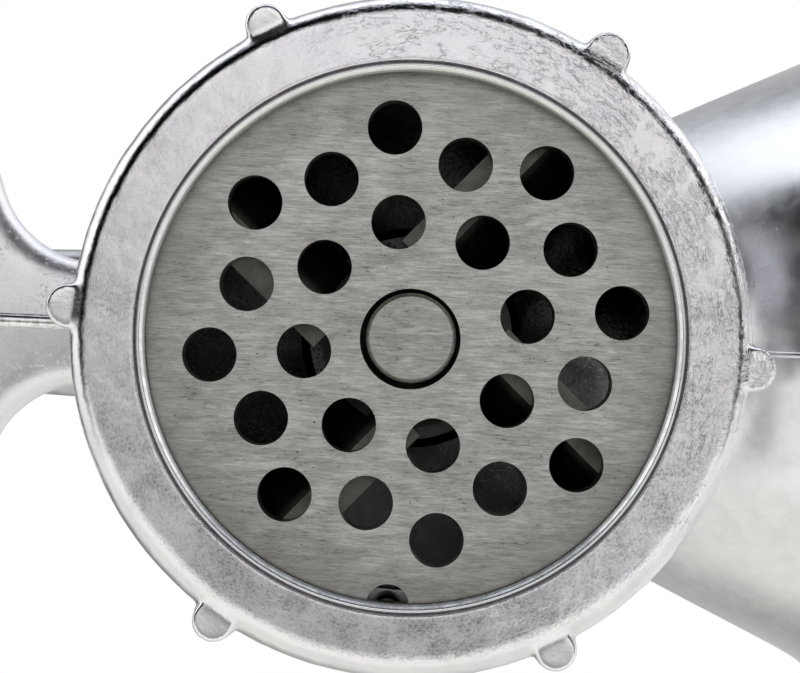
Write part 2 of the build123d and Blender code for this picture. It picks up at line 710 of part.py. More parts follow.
with BuildPart() as grip:
    # Turned wood: a full belly for the palm, a waist by the ferrule and a domed end.
    wood_y = grip_y + 1.25
    with BuildSketch(GRIP_SIDE):
        with BuildLine():
            Polyline((wood_y, GRIP_PIN_R + RUNNING_GAP), (wood_y, FERRULE_R - 0.03))
            Line((wood_y, FERRULE_R - 0.03), (grip_y + FERRULE_LENGTH, FERRULE_R - 0.03))
            Spline(
                (grip_y + FERRULE_LENGTH, FERRULE_R - 0.03),
                (grip_y + FERRULE_LENGTH + 8, GRIP_R - 2.4),
                (grip_y + 0.5 * GRIP_LENGTH, GRIP_R),
                (grip_y + 0.82 * GRIP_LENGTH, GRIP_R - 1.6),
                (grip_end_y - 4, GRIP_R - 3.4),
                (grip_end_y, GRIP_POCKET_R),
            )
            Polyline(
                (grip_end_y, GRIP_POCKET_R),
                (pocket_y, GRIP_POCKET_R),
                (pocket_y, GRIP_PIN_R + RUNNING_GAP),
                (wood_y, GRIP_PIN_R + RUNNING_GAP),
            )
        make_face()
    revolve(axis=GRIP_AXIS)
save(grip, "grip")

# ---- Clamp screw, pad and tommy bar -----------------------------------------------------------

thread_top_z = PAD_TOP_Z - 12
spigot_z = PAD_TOP_Z - 7.5
head_bottom_z = HEAD_TOP_Z - HEAD_LENGTH
tommy_z = head_bottom_z + HEAD_LENGTH / 2

with BuildPart() as clamp_screw:
    with BuildSketch(Plane.XZ):
        with BuildLine():
            Polyline(
                (0, head_bottom_z),
                (HEAD_R - 1.5, head_bottom_z),
                (HEAD_R, head_bottom_z + 1.5),
                (HEAD_R, HEAD_TOP_Z - 1.5),
                (HEAD_R - 1.5, HEAD_TOP_Z),
                (CLAMP_MINOR_R, HEAD_TOP_Z),
                (CLAMP_MINOR_R, thread_top_z),
                (3.2, thread_top_z + 1.4),
                (3.2, spigot_z),
                (4.4, spigot_z + 1),
                (4.4, spigot_z + 3),
                (3, spigot_z + 4.3),
                (0, spigot_z + 4.3),
                close=True,
            )
        make_face()
    revolve(axis=Axis.Z)
    screw_thread_z = HEAD_TOP_Z + 4
    with BuildLine() as clamp_path:
        Helix(CLAMP_PITCH, thread_top_z - 2 - screw_thread_z, CLAMP_MINOR_R, center=(0, 0, screw_thread_z))
    with BuildSketch(Plane.XZ):
        with BuildLine():
            Polyline(
                (CLAMP_MINOR_R - 0.2, screw_thread_z - 1.15),
                (CLAMP_MAJOR_R, screw_thread_z - 0.55),
                (CLAMP_MAJOR_R, screw_thread_z + 0.55),
                (CLAMP_MINOR_R - 0.2, screw_thread_z + 1.15),
                close=True,
            )
        make_face()
    sweep(path=clamp_path.line, is_frenet=True)
    with BuildSketch(Plane.YZ.offset(-HEAD_R - 1)):
        with Locations((0, tommy_z)):
            Circle(TOMMY_R + 0.3)
    extrude(amount=2 * HEAD_R + 2, mode=Mode.SUBTRACT)
save(clamp_screw, "clamp_screw")

with BuildPart() as tommy_bar:
    with BuildSketch(Plane.YZ.offset(-TOMMY_LENGTH / 2)):
        with Locations((0, tommy_z)):
            Circle(TOMMY_R)
    extrude(amount=TOMMY_LENGTH)
save(tommy_bar, "tommy_bar")

with BuildPart() as tommy_bar_caps:
    # Round caps pressed on the bar's ends, so that it can't fall out of the head.
    for side in (-1, 1):
        with Locations((side * (TOMMY_LENGTH / 2 - 1), 0, tommy_z)):
            Sphere(TOMMY_R + 1.8)
    with BuildSketch(Plane.YZ.offset(-TOMMY_LENGTH / 2)):
        with Locations((0, tommy_z)):
            Circle(TOMMY_R)
    extrude(amount=TOMMY_LENGTH, mode=Mode.SUBTRACT)
save(tommy_bar_caps, "tommy_bar_caps")

with BuildPart() as pressure_pad:
    # A dished disc with a rim around its rubber, and a socket for the screw's end.
    with BuildSketch(Plane.XZ):
        with BuildLine():
            Polyline(
                (5.1, PAD_TOP_Z - 11.5),
                (7.5, PAD_TOP_Z - 11.5),
                (8.5, PAD_TOP_Z - 7),
                (PAD_R - 1, PAD_TOP_Z - 5),
                (PAD_R, PAD_TOP_Z - 4),
                (PAD_R, PAD_TOP_Z - 1.5),
                (PAD_R - 1.4, PAD_TOP_Z - 1.5),
                (PAD_R - 1.4, PAD_TOP_Z - 3),
                (0, PAD_TOP_Z - 3),
                (0, spigot_z + 4.4),
                (4.6, spigot_z + 4.4),
                (4.6, spigot_z),
                (5.1, spigot_z - 0.1),
                close=True,
            )
        make_face()
    revolve(axis=Axis.Z)
save(pressure_pad, "pressure_pad")

with BuildPart() as pad_rubber:
    with BuildSketch(level(PAD_TOP_Z - 3)):
        Circle(PAD_R - 1.45)
    extrude(amount=3)
    chamfer(pad_rubber.edges().group_by(Axis.Z)[-1], 0.6)
save(pad_rubber, "pad_rubber")

with BuildPart() as pad_retaining_ring:
    # Spring ring in the socket, under the screw's bulb.
    with BuildSketch(level(spigot_z - 2)):
        Circle(5.08)
        Circle(3.4, mode=Mode.SUBTRACT)
        with Locations((4.5, 0)):
            Rectangle(4, 2.4, mode=Mode.SUBTRACT)
    extrude(amount=1.2)
save(pad_retaining_ring, "pad_retaining_ring")
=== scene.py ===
import math

import bpy
import numpy as np
import openvdb
from mathutils import Matrix, Vector, noise
from mathutils.bvhtree import BVHTree


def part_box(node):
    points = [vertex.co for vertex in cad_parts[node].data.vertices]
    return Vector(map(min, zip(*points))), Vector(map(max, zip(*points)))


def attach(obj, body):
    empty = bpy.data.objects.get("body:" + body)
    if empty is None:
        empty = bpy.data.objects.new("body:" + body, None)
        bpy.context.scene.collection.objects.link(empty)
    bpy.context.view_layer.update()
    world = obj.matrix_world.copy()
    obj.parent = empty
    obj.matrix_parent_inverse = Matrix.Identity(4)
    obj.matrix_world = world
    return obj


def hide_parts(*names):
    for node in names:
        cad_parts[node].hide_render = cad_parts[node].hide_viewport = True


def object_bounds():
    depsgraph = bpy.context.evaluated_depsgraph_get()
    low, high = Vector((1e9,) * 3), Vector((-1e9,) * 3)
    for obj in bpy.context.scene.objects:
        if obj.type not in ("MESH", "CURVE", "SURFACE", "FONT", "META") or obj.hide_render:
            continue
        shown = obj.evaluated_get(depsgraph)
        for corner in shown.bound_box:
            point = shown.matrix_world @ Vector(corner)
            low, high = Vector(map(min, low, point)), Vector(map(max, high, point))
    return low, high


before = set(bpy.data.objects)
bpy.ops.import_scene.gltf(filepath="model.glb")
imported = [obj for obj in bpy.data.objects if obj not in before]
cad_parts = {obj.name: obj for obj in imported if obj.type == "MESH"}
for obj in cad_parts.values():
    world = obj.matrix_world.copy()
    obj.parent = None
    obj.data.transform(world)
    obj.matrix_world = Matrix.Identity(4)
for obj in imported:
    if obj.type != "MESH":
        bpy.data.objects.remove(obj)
cad_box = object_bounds()

# The looks of a small cast aluminium meat grinder. Lengths in shape code are in millimetres until
# they become mesh points; the barrel's axis runs along Y and the mince leaves towards -Y.

MM = 0.001


def node_box(name):
    """A CAD node's lowest and highest corners, in millimetres."""
    return tuple(np.array(corner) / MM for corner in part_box(name))


RING_LOW, RING_HIGH = node_box("ring_nut")
PLATE_LOW, PLATE_HIGH = node_box("cutting_plate")
AXIS_Z = (PLATE_LOW[2] + PLATE_HIGH[2]) / 2
RING_FRONT_Y = RING_LOW[1]
RING_BACK_Y = RING_HIGH[1]
PLATE_FRONT_Y = PLATE_LOW[1]
AXIS_POINT = (0, 0, AXIS_Z * MM)

# Ring nut. The lugs lean and differ in size a little, as cast ones do; LUG_ANGLE is in degrees.
OPENING_R = 28.9
RING_R = 37.4
RING_BORE_R = 34.6
CHAMFER = 0.8
GROOVE_R = 30.12
GROOVE_HALF = 0.20
FACE_SLOPE = 0.12
EDGE_R = 2.1
EDGE_WEAR = 0.9
BACK_EDGE_R = 1.2
LUGS = 6
LUG_ANGLE = 87.5
LUG_CENTRE_R = 37.7
LUG_RADII = (2.35, 3.0)
LUG_FRONT_Y = RING_FRONT_Y + 1.4
LUG_BACK_Y = RING_BACK_Y - 0.6
LUG_EDGE_R = 0.45
LUG_FILLET = 0.7
LUG_LEANS = (0.10, -0.16, 0.05, 0.18, -0.08, 0.02)
LUG_SIZES = (1.0, 1.04, 0.96, 1.02, 1.0, 0.97)

# The thread stands THREAD_HEIGHT proud of the barrel's neck and is cut THREAD_DEPTH into the ring.
THREAD_PITCH = 3.0
THREAD_HEIGHT = 1.3
THREAD_DEPTH = 0.5

# Body casting
MOUTH_Y = PLATE_FRONT_Y + 1.5
SEAT_Y = PLATE_FRONT_Y + 9.0
SEAT_R = 31.15
COLLAR_FRONT_Y = PLATE_FRONT_Y + 20.5
BORE_R = 28.0
BARREL_R = 32.5
NECK_R = 33.0
NECK_CUT_R = RING_BORE_R + 0.6
BELOW_BARREL_Z = AXIS_Z - BARREL_R + 0.5
REAR_WALL_Y = PLATE_FRONT_Y + 88.0
FOOT_TOP_Z = 10.0
LEG_TOP_Z = AXIS_Z - NECK_R + 1
LEG_FRONT_Y = PLATE_FRONT_Y + 33.0
ROOF_SLOPE = 0.075
ROOF_CREST = 1.0
CAST_FILLET = 3.0
CAST_EDGE_R = 0.9
BEAD_HALF = 0.85
BEAD_HEIGHT = 0.8
SEAM_HALF = 0.42
SEAM_HEIGHT = 0.16
THROAT_Z = AXIS_Z + 34
SPLIT_Z = AXIS_Z + 52
RIM_Z = AXIS_Z + 79
VOXEL = 0.8

# Camera
CAMERA_ROLL = math.radians(2.58)
CAMERA_DISTANCE = 0.400
CAMERA_LENS = 164.2
CAMERA_SHIFT = (-0.01375, 0.0019)

# Near-black for grease and painted shade inside the barrel, behind the cutters' fronts.
GREASE_AND_SHADE = (0.012, 0.012, 0.011)


# ---- Mesh helpers ------------------------------------------------------------------------------


def make_piece(name, points, faces, materials, body, indices=None):
    """A smooth-shaded mesh object from points in millimetres, riding on a CAD body."""
    mesh = bpy.data.meshes.new(name)
    mesh.from_pydata((np.asarray(points) * MM).tolist(), [], np.asarray(faces).tolist())
    for material in materials:
        mesh.materials.append(material)
    mesh.polygons.foreach_set("use_smooth", [True] * len(mesh.polygons))
    if indices is not None:
        mesh.polygons.foreach_set("material_index", indices)
    mesh.update()
    piece = bpy.data.objects.new(name, mesh)
    bpy.context.scene.collection.objects.link(piece)
    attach(piece, body)
    return piece


def face_outwards(points, faces):
    """The faces, turned over if they enclose a negative volume."""
    a, b, c = (points[faces[:, k]] for k in range(3))
    volume = np.einsum("ij,ij->i", a, np.cross(b, c)).sum()
    return faces if volume > 0 else faces[:, ::-1]


def vertex_normals(points, faces):
    """Unit normals at the points of a quad mesh."""
    a, b, c, d = (points[faces[:, k]] for k in range(4))
    diagonals = np.cross(c - a, d - b)
    normals = np.zeros_like(points)
    for corner in range(4):
        np.add.at(normals, faces[:, corner], diagonals)
    return normals / np.maximum(np.linalg.norm(normals, axis=1, keepdims=True), 1e-9)


def calmed(normals, faces, rounds=8):
    """The normals, averaged with their neighbours' so that reflections don't show small ripples."""
    for _ in range(rounds):
        means = normals[faces].mean(axis=1)
        normals = np.zeros_like(normals)
        for corner in range(4):
            np.add.at(normals, faces[:, corner], means)
        normals /= np.maximum(np.linalg.norm(normals, axis=1, keepdims=True), 1e-9)
    return normals


def smooth_step(x, low, high):
    """0 below low and 1 above high, with a smooth rise between them."""
    t = np.clip((x - low) / (high - low), 0, 1)
    return t * t * (3 - 2 * t)


def smooth_union(a, b, radius):
    """Two distance fields joined with a fillet of about this radius."""
    h = np.clip(0.5 + 0.5 * (b - a) / radius, 0, 1)
    return b + (a - b) * h - radius * h * (1 - h)


def spaced(*spans):
    """Sample positions from (start, end, step) spans that follow each other."""
    parts = [np.arange(start, end - step / 2, step) for start, end, step in spans]
    return np.concatenate(parts + [np.array([spans[-1][1]])])


def turned_surface(field, angles, radii, ys):
    """The zero surface of field[angle, radius, y], which closes on itself round the axis."""
    count = len(angles)
    pad = 3
    far_away = 2.0
    grid = openvdb.FloatGrid(far_away)
    grid.copyFromArray(np.concatenate([field[-pad:], field, field[:pad]]).astype(np.float32))
    points, quads = grid.convertToQuads()
    # The field repeats past both ends. One turn is kept, and its two ends are joined.
    column = np.floor(points[:, 0]).astype(int) - pad
    last = column[quads].max(axis=1)
    quads = quads[(last >= 0) & (last < count)]
    ends = np.flatnonzero(column == count - 1)
    twin = np.arange(len(points))
    for early in np.flatnonzero(column == -1):
        gap = points[ends] - points[early] - (count, 0, 0)
        twin[early] = ends[np.argmin((gap ** 2).sum(axis=1))]
    quads = twin[quads]
    used, quads = np.unique(quads, return_inverse=True)
    i, j, k = points[used].T
    angle = (i - pad) * 2 * math.pi / count
    radius = np.interp(j, np.arange(len(radii)), radii)
    y = np.interp(k, np.arange(len(ys)), ys)
    around = np.column_stack([radius * np.cos(angle), y, AXIS_Z + radius * np.sin(angle)])
    quads = face_outwards(around - around.mean(axis=0), quads.reshape(-1, 4))
    return around, quads, radius, y


def thread_root(angle, y):
    """1 between the thread's turns and 0 on its crest, at each angle round the axis and each y."""
    turn = (y / THREAD_PITCH - angle / (2 * math.pi)) % 1
    return smooth_step(np.abs(turn - 0.5), 0.12, 0.38)


def value_noise(points, size, octaves, seed):
    """Fractal noise between about -1 and 1 at the points, with features of this size."""
    shift = Vector((seed, 2.3 * seed, -1.7 * seed))
    return np.array([noise.fractal(Vector(p) / size + shift, 0.8, 2.0, octaves) for p in points])


# ---- Materials ---------------------------------------------------------------------------------


def scaled(colour, factor):
    return tuple(factor * channel for channel in colour)


class Nodes:
    """A node tree being built."""

    def __init__(self, tree):
        self.tree = tree

    def add(self, kind, inputs, **settings):
        made = self.tree.nodes.new("ShaderNode" + kind)
        for key, value in settings.items():
            setattr(made, key, value)
        for key, value in inputs.items():
            if isinstance(value, bpy.types.NodeSocket):
                self.tree.links.new(value, made.inputs[key])
            else:
                made.inputs[key].default_value = value
        return made.outputs

    def math(self, operation, a, b=0.5):
        return self.add("Math", {0: a, 1: b}, operation=operation)[0]

    def span(self, value, low, high, to_low=0.0, to_high=1.0, kind="LINEAR"):
        """The value, mapped from low..high to to_low..to_high and held there outside it."""
        inputs = {"Value": value, "From Min": low, "From Max": high, "To Min": to_low, "To Max": to_high}
        return self.add("MapRange", inputs, clamp=True, interpolation_type=kind)[0]


class Recipe(Nodes):
    """A material being built around one Principled shader."""

    def __init__(self, name, **constants):
        self.material = bpy.data.materials.new(name)
        self.material.use_nodes = True
        super().__init__(self.material.node_tree)
        self.shader = self.tree.nodes["Principled BSDF"]
        self.coordinates = self.tree.nodes.new("ShaderNodeTexCoord").outputs["Object"]
        self.height = None
        for key, value in constants.items():
            self.shader.inputs[key.replace("_", " ")].default_value = value

    def stretched(self, size, stretch, seed):
        """Coordinates in which one unit is size millimetres, times stretch along each axis."""
        origin = (seed * 0.01, seed * 0.013, seed * 0.017)
        scale = tuple(1 / (size * MM * along) for along in stretch)
        moved = self.add("VectorMath", {0: self.coordinates, 1: origin}, operation="SUBTRACT")[0]
        return self.add("VectorMath", {0: moved, 1: scale}, operation="MULTIPLY")[0]

    def texture(self, where, detail=3.0, rough=0.55, warp=0.0):
        inputs = {"Vector": where, "Scale": 1.0, "Detail": detail, "Roughness": rough, "Distortion": warp}
        return self.add("TexNoise", inputs)["Fac"]

    def noise(self, size, detail=3.0, rough=0.55, stretch=(1, 1, 1), warp=0.0, seed=0.0):
        return self.texture(self.stretched(size, stretch, seed), detail, rough, warp)

    def cells(self, size, stretch=(1, 1, 1), seed=0.0):
        where = self.stretched(size, stretch, seed)
        return self.add("TexVoronoi", {"Vector": where, "Scale": 1.0})["Distance"]

    def ramp(self, value, *stops):
        made = self.tree.nodes.new("ShaderNodeValToRGB")
        self.tree.links.new(value, made.inputs[0])
        elements = made.color_ramp.elements
        while len(elements) < len(stops):
            elements.new(0.5)
        for element, (position, colour) in zip(elements, stops):
            element.position = position
            element.color = (*colour, 1.0)
        return made.outputs[0]

    def mix(self, factor, a, b):
        made = self.tree.nodes.new("ShaderNodeMix")
        made.data_type = "RGBA"
        for socket, value in ((made.inputs[0], factor), (made.inputs[6], a), (made.inputs[7], b)):
            if isinstance(value, bpy.types.NodeSocket):
                self.tree.links.new(value, socket)
            elif isinstance(value, (int, float)):
                socket.default_value = value
            else:
                socket.default_value = (*value, 1.0)
        return made.outputs[2]

    def polar(self):
        """Distance in millimetres from the barrel's axis, and the angle round it."""
        moved = self.add("VectorMath", {0: self.coordinates, 1: AXIS_POINT}, operation="SUBTRACT")[0]
        parts = self.add("SeparateXYZ", {0: moved})
        flat = self.add("CombineXYZ", {0: parts[0], 2: parts[2]})[0]
        radius = self.add("VectorMath", {0: flat}, operation="LENGTH")[1]
        return self.math("MULTIPLY", radius, 1 / MM), self.math("ARCTAN2", parts[2], parts[0])

    def wrapped(self, across, along, deep):
        """Coordinates that follow the ring: one unit is across, along or deep millimetres."""
        moved = self.add("VectorMath", {0: self.coordinates, 1: AXIS_POINT}, operation="SUBTRACT")[0]
        parts = self.add("SeparateXYZ", {0: moved})
        radius, _ = self.polar()
        arc = self.math("MULTIPLY", self.math("ARCTAN2", parts[0], parts[2]), RING_R / along)
        depth = self.math("MULTIPLY", parts[1], 1 / (deep * MM))
        return self.add("CombineXYZ", {0: self.math("MULTIPLY", radius, 1 / across), 1: arc, 2: depth})[0]

    def height_of(self, axis):
        """The place along this axis, in millimetres."""
        return self.math("MULTIPLY", self.add("SeparateXYZ", {0: self.coordinates})[axis], 1 / MM)

    def bump(self, height, depth):
        """Adds relief of this depth in millimetres to what the shader already has."""
        inputs = {"Height": height, "Strength": 1.0, "Distance": depth * MM}
        if self.height is not None:
            inputs["Normal"] = self.height
        self.height = self.add("Bump", inputs)["Normal"]
        self.tree.links.new(self.height, self.shader.inputs["Normal"])

    def colour(self, value):
        self.tree.links.new(value, self.shader.inputs["Base Color"])

    def rough(self, value):
        self.tree.links.new(value, self.shader.inputs["Roughness"])


def cast_aluminium(name, light, dark, rough, pit, wave, grime, grease_and_shade_until=None):
    """Cast aluminium: mottled tone, fine grain and slow waves, dark near the cutters with grease and painted
    shade.
    """
    made = Recipe(name, Metallic=1.0)
    mottle = made.noise(2.6, detail=6, rough=0.62, warp=0.4)
    cloud = made.noise(14, detail=3)
    grain = made.noise(0.42, detail=4, rough=0.7)
    tone = made.math("ADD", made.math("MULTIPLY", mottle, 0.62), made.math("MULTIPLY", cloud, 0.38))
    middle = tuple((a + b) / 2 for a, b in zip(light, dark))
    body = made.ramp(tone, (0.34, dark), (0.5, middle), (0.62, light))
    specks = made.math("MULTIPLY", made.span(grain, 0.42, 0.30), made.span(cloud, 0.42, 0.58))
    body = made.mix(made.math("MULTIPLY", specks, grime), body, scaled(dark, 0.25))
    uneven = made.math("ADD", made.math("MULTIPLY", mottle, 0.6), made.math("MULTIPLY", grain, 0.4))
    matte = made.span(uneven, 0.35, 0.65, *rough)
    if grease_and_shade_until is not None:
        # Painted shade and grease: near-black near the cutters, inside the barrel.
        near = made.span(made.height_of(1), grease_and_shade_until - 4, grease_and_shade_until + 14, 0.96, 0.0)
        body = made.mix(near, body, (0.030, 0.030, 0.028))
        matte = made.add("Mix", {0: near, 2: matte, 3: 0.16})[0]
    made.colour(body)
    made.rough(matte)
    made.bump(cloud, 0.5 * wave)
    made.bump(mottle, 0.16 * wave)
    made.bump(grain, 0.035 * pit)
    made.bump(specks, -0.05 * pit)
    return made.material


def polished_body():
    """The hopper and barrel: buffed to a mirror higher up, duller where no wheel reached."""
    made = Recipe("body_polished", Metallic=1.0)
    cloud = made.noise(12, detail=3)
    haze = made.noise(2.4, detail=5, rough=0.6, warp=0.3)
    made.colour(made.ramp(haze, (0.36, (0.86, 0.86, 0.875)), (0.62, (0.94, 0.94, 0.95))))
    dull = made.span(made.height_of(2), AXIS_Z + 35, AXIS_Z + 50, 0.34, 0.10)
    made.rough(made.math("ADD", dull, made.span(haze, 0.35, 0.65, 0.0, 0.05)))
    made.bump(cloud, 0.04)
    made.bump(haze, 0.008)
    return made.material


def ring_metal():
    """The ring nut's casting: a matte wrinkled face, and an edge and sides polished by handling."""
    made = Recipe("ring_cast", Metallic=1.0)
    radius, _ = made.polar()
    x = made.height_of(0)
    z = made.height_of(2)
    cloud = made.noise(5.0, detail=6, rough=0.6, warp=0.5)
    # Flow wrinkles from the casting, along the ring and in patches, most of them on the hopper's side.
    folds = made.texture(made.wrapped(0.80, 3.1, 4.0), detail=5, rough=0.62, warp=0.35)
    line = made.span(made.math("ABSOLUTE", made.math("SUBTRACT", folds, 0.5)), 0.0, 0.022, 1.0, 0.0)
    patches = made.span(made.noise(3.4, detail=5, rough=0.65, seed=4), 0.42, 0.64)
    wrinkled = made.span(z, AXIS_Z - 14, AXIS_Z + 22, 0.05, 1.0)
    wrinkled = made.math("MULTIPLY", wrinkled, made.span(x, 8, 26, 1.0, 0.15))
    wrinkles = made.math("MULTIPLY", made.math("MULTIPLY", line, patches), wrinkled)
    # Fine dark grit, thickest on the +X half.
    grit = made.texture(made.wrapped(0.24, 0.46, 0.5), detail=5, rough=0.8)
    gritty = made.span(x, -22, 22, 0.22, 1.0)
    specks = made.math("MULTIPLY", made.span(grit, 0.52, 0.37), gritty)
    specks = made.math("MULTIPLY", specks, made.span(cloud, 0.66, 0.36, 0.35, 1.0))
    # Painted dark reflection along the edge, where the face meets the rounded rim, left off on the +X half.
    ragged = made.math("MULTIPLY", made.noise(1.3, detail=5, rough=0.7), 0.9)
    rim_r = 36.47
    offset = made.math("SUBTRACT", made.math("ADD", radius, ragged), rim_r)
    rim = made.span(made.math("ABSOLUTE", offset), 0.08, 0.30, 1.0, 0.0)
    rim = made.math("MULTIPLY", rim, made.span(x, 4, 15, 1.0, 0.0))
    rim = made.math("MULTIPLY", rim, made.span(z, AXIS_Z - 10, AXIS_Z + 25, 0.9, 0.62))
    face = made.span(radius, 34.9, 35.8, 1.0, 0.0)
    tone = made.ramp(cloud, (0.32, (0.80, 0.765, 0.81)), (0.5, (0.95, 0.915, 0.955)),
                     (0.66, (1.0, 0.975, 1.0)))
    marks = made.math("MAXIMUM", made.math("MULTIPLY", wrinkles, 0.70), made.math("MULTIPLY", specks, 0.80))
    tone = made.mix(made.math("MULTIPLY", marks, face), tone, (0.13, 0.12, 0.135))
    tone = made.mix(made.span(face, 0.0, 1.0, 0.5, 0.0), tone, (0.90, 0.90, 0.90))
    # The rim mask paints that dark reflection in near-black.
    made.colour(made.mix(rim, tone, (0.045, 0.045, 0.045)))
    matte = made.span(cloud, 0.35, 0.65, 0.24, 0.33)
    made.rough(made.add("Mix", {0: face, 2: 0.17, 3: matte})[0])
    made.bump(cloud, 0.13)
    made.bump(wrinkles, -0.07)
    made.bump(made.math("MULTIPLY", made.math("MULTIPLY", folds, patches), wrinkled), 0.14)
    made.bump(grit, 0.016)
    return made.material


def lathe_cut_lip():
    """The ring's lip as turned: a grey bore darkened with painted shade, a bright line, then a dark line in
    the groove.
    """
    made = Recipe("lip_cut", Metallic=1.0)
    radius, _ = made.polar()
    uneven = made.noise(1.6, detail=4, rough=0.7)
    where = made.math("ADD", radius, made.math("MULTIPLY", made.math("SUBTRACT", uneven, 0.5), 0.22))
    # The ramp's two darkest first stops, on the bore at the opening, are painted shade; the dark stops
    # further out make the line in the groove.
    tone = made.ramp(made.span(where, OPENING_R - 0.1, OPENING_R + 2.1),
                     (0.0, (0.30, 0.30, 0.29)), (0.20, (0.42, 0.42, 0.41)),
                     (0.25, (0.95, 0.95, 0.95)), (0.44, (0.93, 0.93, 0.94)), (0.54, (0.74, 0.73, 0.75)),
                     (0.575, (0.10, 0.095, 0.10)), (0.635, (0.10, 0.095, 0.10)), (0.67, (0.80, 0.78, 0.81)))
    made.colour(tone)
    made.rough(made.span(uneven, 0.35, 0.65, 0.16, 0.32))
    made.bump(uneven, 0.02)
    return made.material


def brushed_steel(name, light, painted_lip_shade, grease_and_shade_from=None):
    """Flat-ground steel: brush marks along Z, mottling, specks, painted shade towards the ring's lip if
    asked, and near-black behind its front for grease and painted shade.
    """
    made = Recipe(name, Metallic=1.0)
    broad = made.noise(0.36, detail=6, rough=0.75, stretch=(1, 1, 8), warp=0.3, seed=1)
    fine = made.noise(0.13, detail=4, rough=0.8, stretch=(1, 1, 20), seed=2)
    cloud = made.noise(4.5, detail=6, rough=0.68, stretch=(0.7, 1, 1.7), warp=0.7, seed=3)
    lines = made.math("ADD", made.math("MULTIPLY", broad, 0.48), made.math("MULTIPLY", fine, 0.52))
    tone = made.ramp(lines, (0.34, scaled((0.20, 0.192, 0.178), light)),
                     (0.5, scaled((0.50, 0.488, 0.464), light)),
                     (0.66, scaled((0.80, 0.79, 0.765), light)))
    tone = made.mix(made.span(cloud, 0.42, 0.66, 0.0, 0.42), tone, (0.25, 0.238, 0.218))
    # Scratches in a second direction, in patches.
    scratch = made.noise(0.17, detail=3, stretch=(1.6, 1, 11), warp=2.2, seed=12)
    scratches = made.math("MULTIPLY", made.span(scratch, 0.42, 0.33), made.span(cloud, 0.45, 0.58))
    tone = made.mix(made.math("MULTIPLY", scratches, 0.75), tone, (0.11, 0.102, 0.09))
    specks = made.span(made.noise(0.26, detail=2, rough=0.6, stretch=(1, 1, 1.6), seed=6), 0.345, 0.30)
    rare = made.span(made.noise(3.0, detail=4, seed=9), 0.42, 0.56)
    tone = made.mix(made.math("MULTIPLY", specks, rare), tone, (0.05, 0.046, 0.042))
    if painted_lip_shade:
        # Painted shade: darker towards the ring's lip, where the lip shades the plate.
        radius, _ = made.polar()
        tone = made.mix(made.span(radius, 22.0, 29.0, 0.0, 0.42), tone, (0.20, 0.195, 0.185))
    if grease_and_shade_from is not None:
        # Behind the front: near-black for grease and painted shade, so the gap round the stud reads dark.
        behind = made.span(made.height_of(1), grease_and_shade_from + 0.45, grease_and_shade_from + 0.9)
        tone = made.mix(behind, tone, GREASE_AND_SHADE)
    made.colour(tone)
    made.rough(made.span(lines, 0.35, 0.65, 0.30, 0.44))
    made.bump(broad, 0.014)
    made.bump(fine, 0.007)
    return made.material


def ground_steel(name, tone, rough, grease_and_shade_from=None):
    """Ground steel, with fine marks round the axis, and near-black grease and painted shade behind its
    front.
    """
    made = Recipe(name, Metallic=1.0)
    radius, angle = made.polar()
    round_marks = made.add("CombineXYZ", {0: made.math("MULTIPLY", radius, 7.0), 1: angle})[0]
    marks = made.texture(round_marks, detail=5, rough=0.7)
    cloud = made.noise(3.2, detail=4)
    grey = made.ramp(marks, (0.32, scaled(tone, 0.72)), (0.68, scaled(tone, 1.2)))
    grey = made.mix(made.span(cloud, 0.45, 0.68, 0.0, 0.35), grey, scaled(tone, 0.5))
    if grease_and_shade_from is not None:
        # Behind the front: near-black for grease and painted shade.
        behind = made.span(made.height_of(1), grease_and_shade_from + 0.1, grease_and_shade_from + 0.6, 0.0, 0.93)
        grey = made.mix(behind, grey, GREASE_AND_SHADE)
    made.colour(grey)
    made.rough(made.span(cloud, 0.35, 0.65, *rough))
    made.bump(marks, 0.010)
    return made.material


def machined_edge(name, tone, rough):
    """A cut surface or edge with a few nicks."""
    made = Recipe(name, Metallic=1.0)
    nicks = made.noise(0.8, detail=4, rough=0.7)
    made.colour(made.ramp(nicks, (0.34, scaled(tone, 0.55)), (0.56, tone)))
    made.rough(made.span(nicks, 0.35, 0.65, *rough))
    made.bump(nicks, 0.03)
    return made.material


def zinc_plate():
    """Zinc-plated steel: even, slightly cloudy, with faint lines."""
    made = Recipe("zinc_plate", Metallic=1.0)
    cloud = made.noise(6, detail=4)
    grain = made.noise(0.5, detail=3)
    made.colour(made.ramp(cloud, (0.35, (0.50, 0.51, 0.53)), (0.65, (0.72, 0.72, 0.72))))
    made.rough(made.span(grain, 0.3, 0.7, 0.24, 0.38))
    made.bump(grain, 0.02)
    return made.material


def turned_wood():
    """Oiled beech: grain along Y, with short dark flecks and slow rings."""
    made = Recipe("turned_beech", Roughness=0.42)
    grain = made.noise(1.1, detail=6, rough=0.65, stretch=(1, 22, 1), warp=0.3)
    rings = made.noise(6.5, detail=3, stretch=(1, 10, 1), warp=1.2, seed=4)
    flecks = made.span(made.cells(0.9, stretch=(1, 5.5, 1), seed=2), 0.12, 0.26, 1.0, 0.0)
    figure = made.math("ADD", made.math("MULTIPLY", grain, 0.45), made.math("MULTIPLY", rings, 0.55))
    tone = made.ramp(figure, (0.34, (0.205, 0.094, 0.036)), (0.5, (0.36, 0.185, 0.080)),
                     (0.66, (0.50, 0.285, 0.135)))
    made.colour(made.mix(made.math("MULTIPLY", flecks, 0.65), tone, (0.12, 0.052, 0.02)))
    made.rough(made.span(grain, 0.3, 0.7, 0.30, 0.46))
    made.bump(grain, 0.05)
    made.bump(flecks, -0.04)
    return made.material


